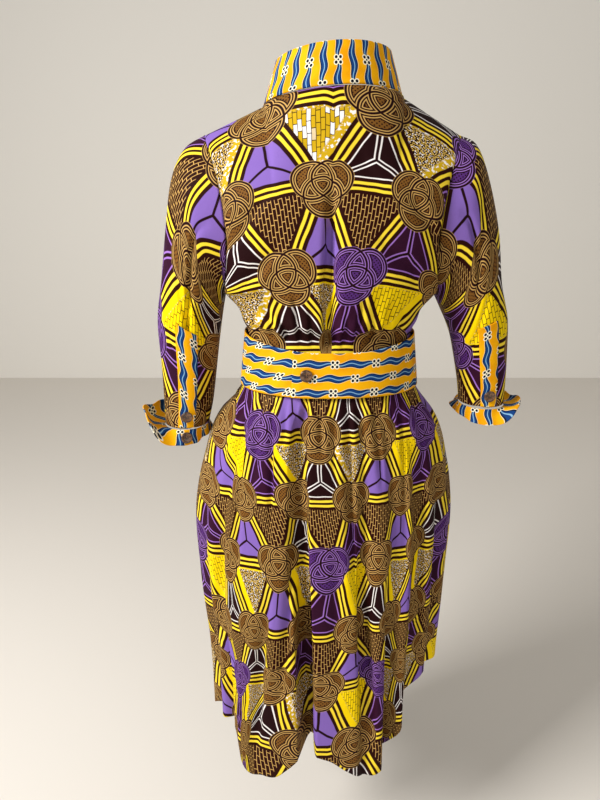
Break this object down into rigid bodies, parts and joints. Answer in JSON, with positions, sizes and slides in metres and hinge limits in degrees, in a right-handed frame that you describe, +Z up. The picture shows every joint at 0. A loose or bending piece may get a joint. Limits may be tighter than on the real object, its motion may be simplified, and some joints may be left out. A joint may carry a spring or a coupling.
{
  "type": "ankara wax print dress",
  "caption": "Ankara wax print shirt dress, worn form, with a popped trim collar, turned up cuffs, a wide buttoned belt and a shirt-tail skirt.",
  "frame": {"origin": "the middle of the neck opening, where the wearer's neck and shoulders hold the dress", "axes": "+Z up, the wearer faces +Y, +X is the wearer's right side"},
  "size_m": [0.6395, 0.3239, 1.1923],
  "materials": {
    "wax_print": "matte printed cotton",
    "trim_print": "matte printed cotton",
    "shell_button": "glossy brown shell"
  },
  "bodies": {
    "root": {"back": "wax_print", "band_bodice": "wax_print", "band_skirt": "wax_print", "belt": "trim_print", "belt_button": "shell_button", "bodice_button_1": "shell_button", "bodice_button_2": "shell_button", "bodice_button_3": "shell_button", "bodice_button_4": "shell_button", "bodice_button_5": "shell_button", "collar": "trim_print", "cuff_button_left": "shell_button", "cuff_left": "trim_print", "cuff_right": "trim_print", "front_left": "wax_print", "front_right": "wax_print", "skirt_back": "wax_print", "skirt_button_1": "shell_button", "skirt_button_2": "shell_button", "skirt_button_3": "shell_button", "skirt_button_4": "shell_button", "skirt_front_left": "wax_print", "skirt_front_right": "wax_print", "sleeve_left": "wax_print", "sleeve_right": "wax_print", "strip_button_left": "shell_button", "strip_button_right": "shell_button", "strip_left": "trim_print", "strip_right": "trim_print"}
  },
  "joints": []
}
